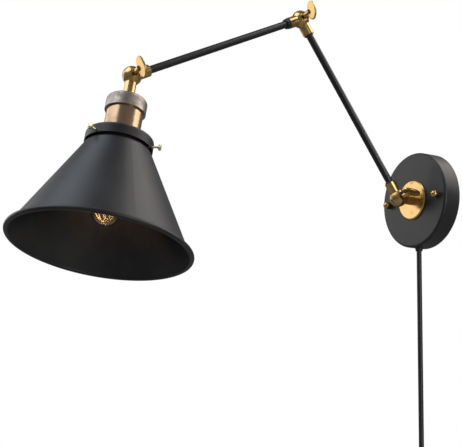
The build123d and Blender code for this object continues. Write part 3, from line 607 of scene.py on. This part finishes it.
# %% Plated metals
def plated(name, bright, dull, rough, scale):
    finish = Finish(name, Metallic=1.0)
    bloom = finish.noise(scale, 4)
    marks = finish.noise(3200, 1, finish.place(scale=(1, 0.2, 1)))
    finish.bump(marks, 0.01 * MM)
    return finish.paint(finish.mix(bloom.band(0.4, 0.7), bright, dull), rough + 0.18 * bloom)


# %% [markdown]
# ## Rubber, plastic and fabric
# The cord's jacket is soft vinyl with a fine matt grain, the switch and the plug come from a mould
# with a spark-eroded face, and the strap is woven. All are nearly black, so what tells them apart is
# the size of the grain and the width of the highlight.


# %% Vinyl, plastic, fibre and weave
def moulded(name, colour, lighter, rough, grain_scale, depth):
    finish = Finish(name, Specular_IOR_Level=0.5)
    grain = finish.noise(grain_scale, 3)
    drift = finish.noise(45, 2)
    finish.bump(grain, depth)
    tone = finish.mix(drift.band(0.35, 0.7), colour, lighter)
    return finish.paint(tone, rough + 0.12 * (grain - 0.5) + 0.08 * drift)


def woven():
    """Two sets of threads cross: the higher of the two waves is the thread on top."""
    finish = Finish("woven_strap", Sheen_Weight=0.4)
    threads = []
    for turn in (0, math.pi / 2):
        wave = finish.node("ShaderNodeTexWave", {"bands_direction": "DIAGONAL"}, {
            "Vector": finish.place(scale=(1, 1, 1), turn=(turn, 0, 0)), "Scale": 300.0, "Distortion": 0.4})
        threads.append(Amount(finish, wave.outputs["Fac"]))
    over = threads[0].maths("MAXIMUM", *threads)
    finish.bump(over, 0.12 * MM)
    # Painted shade: the colour is darker where the weave lies lower, in the gaps and on the thread underneath. The
    # crossing pattern itself is real.
    return finish.paint(finish.mix(over, (0.006, 0.006, 0.007), (0.03, 0.03, 0.032)), 0.75 + 0.15 * over)


def glazed(name, colour, speckle, rough):
    """Glaze with sparse specks and a slow change of tone."""
    finish = Finish(name, Coat_Weight=0.6)
    specks = finish.cells(420)
    tone = finish.noise(60, 3)
    finish.bump(tone, 0.03 * MM)
    return finish.paint(finish.mix(specks.band(0.12, 0.05) * tone, colour, speckle), rough + 0.1 * tone)


# %% [markdown]
# ## Glass and the glowing filament
# The bulb's glass is clear with a light amber tint, and real glass tubing has faint draw lines. It is a
# full glass shader, because the wall has a true thickness and bends light at its edge, which
# gives the bright rim. The filament gives off its own warm light, hotter in some stretches than in others.

# %% Glass and filament
def bulb_glass():
    finish = Finish("amber_glass", Transmission_Weight=1.0, IOR=1.45)
    draw = finish.noise(180, 2, finish.place(scale=(1, 1, 0.15)))
    finish.bump(draw, 0.04 * MM)
    tint = finish.mix(draw.band(0.3, 0.8), (1.0, 0.93, 0.80), (1.0, 0.88, 0.68))
    return finish.paint(tint, 0.02 + 0.03 * draw)


def glowing():
    finish = Finish("glowing_filament", Emission_Strength=30.0)
    heat = finish.noise(160, 2)
    hot = finish.mix(heat.band(0.3, 0.7), (1.0, 0.56, 0.18), (1.0, 0.74, 0.36))
    finish.feed(finish.shader.inputs["Emission Color"], hot)
    finish.bump(finish.noise(5000, 1), 0.02 * MM)
    return finish.paint(finish.mix(heat, (0.10, 0.06, 0.03), (0.20, 0.12, 0.05)), 0.5 + 0.2 * heat)


# %% Every finish by its slot
finishes = {
    "black_powder_coat": powder_coat(),
    "black_tube": gloss_tube(),
    "antique_brass": brass("antique_brass", GOLD, PATINA, 0.20, 70, (1, 1, 0.3)),
    "aged_brass": brass("aged_brass", (0.48, 0.32, 0.20), (0.26, 0.16, 0.08), 0.18, 55,
                        (0.1, 0.1, 1), (0.5, 0.85)),
    "pale_brass": brass("pale_brass", (0.90, 0.80, 0.46), (0.62, 0.50, 0.22), 0.16, 200),
    "zinc_steel": plated("zinc_plate", (0.62, 0.62, 0.60), (0.42, 0.42, 0.43), 0.28, 90),
    "green_steel": plated("green_zinc", (0.10, 0.42, 0.14), (0.04, 0.22, 0.07), 0.30, 300),
    "plated_steel": plated("nickel_plate", (0.78, 0.76, 0.70), (0.58, 0.55, 0.49), 0.14, 120),
    "black_rubber": moulded("bushing_vinyl", (0.012, 0.012, 0.012), (0.022, 0.022, 0.022),
                            0.52, 1400, 0.04 * MM),
    "black_cord": moulded("cord_vinyl", (0.010, 0.010, 0.011), (0.019, 0.019, 0.021), 0.36, 900, 0.03 * MM),
    "black_plastic": moulded("moulded_plastic", (0.013, 0.013, 0.014), (0.022, 0.022, 0.024),
                             0.40, 2600, 0.05 * MM),
    "wire_sheath": moulded("wire_sheath", (0.55, 0.55, 0.52), (0.66, 0.66, 0.62), 0.45, 900, 0.03 * MM),
    "fibre": moulded("fibre_washer", (0.04, 0.03, 0.025), (0.09, 0.07, 0.055), 0.75, 700, 0.08 * MM),
    "ceramic": glazed("socket_glaze", (0.82, 0.80, 0.74), (0.45, 0.40, 0.33), 0.18),
    "bulb_glass": bulb_glass(),
    "filament": glowing(),
}
special = {
    "coil_strap": woven(),
    "bulb_insulator": glazed("base_glass", (0.012, 0.010, 0.012), (0.05, 0.04, 0.05), 0.12),
    "socket_cap": brass("cast_cap", (0.42, 0.37, 0.32), (0.20, 0.165, 0.14), 0.34, 130,
                        (1, 1, 1), (0.4, 0.75)),
}


def dress(piece, material):
    piece.data.materials.clear()
    piece.data.materials.append(material)


slot_of = {row["node"]: row["material_slot"] for row in frame["record"]["subparts"]}
for name, node in nodes.items():
    dress(node, special.get(name, finishes[slot_of[name]]))
made_pieces = [cord, *thumbscrews, bulb_sleeve, bulb_insulator, bulb_contact, filament, stem, strap]
for piece in made_pieces:
    dress(piece, special.get(piece.name, finishes[piece["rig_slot"]]))
print("finishes", len(finishes) + len(special), "pieces made", len(made_pieces))

# %% [markdown]
# ## Light and floor
# Satin black shows only what it mirrors, so the shade's form comes from two large soft boxes: a cool
# one high in front of the wall, on the camera's left, and a warm one high behind the wall's plane, on
# its right. A dark gap between them runs down the middle of the cone. A third, in front and to the
# left of the wall plate, is what the flat brass disc mirrors, and a fourth lights the canopy's rim
# from its right side. The floor is a mid grey, so that little light comes back up into the shade. The
# background that the camera sees is plain white, while the rest of the room is dim, so that the
# metal keeps its darks.

# %% Soft boxes
LAMP_MIDDLE = Vector((0, -0.26, 0.02))


def soft_box(name, azimuth, elevation, distance, size, power, colour):
    """Area light on a sphere round the lamp, facing its middle. Azimuth 0 stands in front of the wall."""
    azimuth, elevation = math.radians(azimuth), math.radians(elevation)
    away = Vector((math.sin(azimuth) * math.cos(elevation), -math.cos(azimuth) * math.cos(elevation),
                   math.sin(elevation)))
    data = bpy.data.lights.new(name, "AREA")
    data.shape = "RECTANGLE"
    data.size, data.size_y = size
    data.energy = power
    data.color = colour
    light = bpy.data.objects.new(name, data)
    bpy.context.scene.collection.objects.link(light)
    facing = away.to_track_quat("Z", "Y").to_matrix().to_4x4()
    light.matrix_world = Matrix.Translation(LAMP_MIDDLE + away * distance) @ facing


soft_box("soft_box_left", -12, 52, 1.7, (1.7, 1.3), 15, (0.84, 0.91, 1.0))
soft_box("soft_box_front", -60, 14, 2.0, (1.2, 1.4), 8, (1.0, 0.97, 0.92))
soft_box("soft_box_right", 162, 44, 1.7, (1.4, 1.7), 21, (1.0, 0.94, 0.88))
soft_box("soft_box_side", 100, 2, 2.2, (1.0, 1.2), 14, (1.0, 0.98, 0.95))


# %% Room and floor
def grey_floor():
    finish = Finish("grey_floor", Roughness=0.8)
    tone = finish.noise(3, 3)
    return finish.paint(finish.mix(tone, (0.26, 0.26, 0.25), (0.30, 0.30, 0.29)))


FLOOR_DROP = 20 * MM
FLOOR_Z = cad_box[0].z - FLOOR_DROP
FLOOR_HALF = 3.0
corners = [(x * FLOOR_HALF, y * FLOOR_HALF, FLOOR_Z) for x, y in ((-1, -1), (1, -1), (1, 1), (-1, 1))]
floor_mesh = bpy.data.meshes.new("floor")
floor_mesh.from_pydata(corners, [], [(0, 1, 2, 3)])
floor = bpy.data.objects.new("floor", floor_mesh)
bpy.context.scene.collection.objects.link(floor)
dress(floor, grey_floor())

ROOM = (0.86, 0.89, 0.95, 1)
ROOM_STRENGTH = 0.22
world = bpy.data.worlds.new("room")
bpy.context.scene.world = world
world.use_nodes = True
tree = world.node_tree
backdrop = tree.nodes["Background"]
backdrop.inputs["Color"].default_value = (1, 1, 1, 1)
room = tree.nodes.new("ShaderNodeBackground")
room.inputs["Color"].default_value = ROOM
room.inputs["Strength"].default_value = ROOM_STRENGTH
seen = tree.nodes.new("ShaderNodeLightPath")
either = tree.nodes.new("ShaderNodeMixShader")
tree.links.new(seen.outputs["Is Camera Ray"], either.inputs["Fac"])
tree.links.new(room.outputs["Background"], either.inputs[1])
tree.links.new(backdrop.outputs["Background"], either.inputs[2])
tree.links.new(either.outputs["Shader"], tree.nodes["World Output"].inputs["Surface"])
bpy.context.scene.view_settings.view_transform = "Standard"
print("floor at", round(FLOOR_Z, 3))
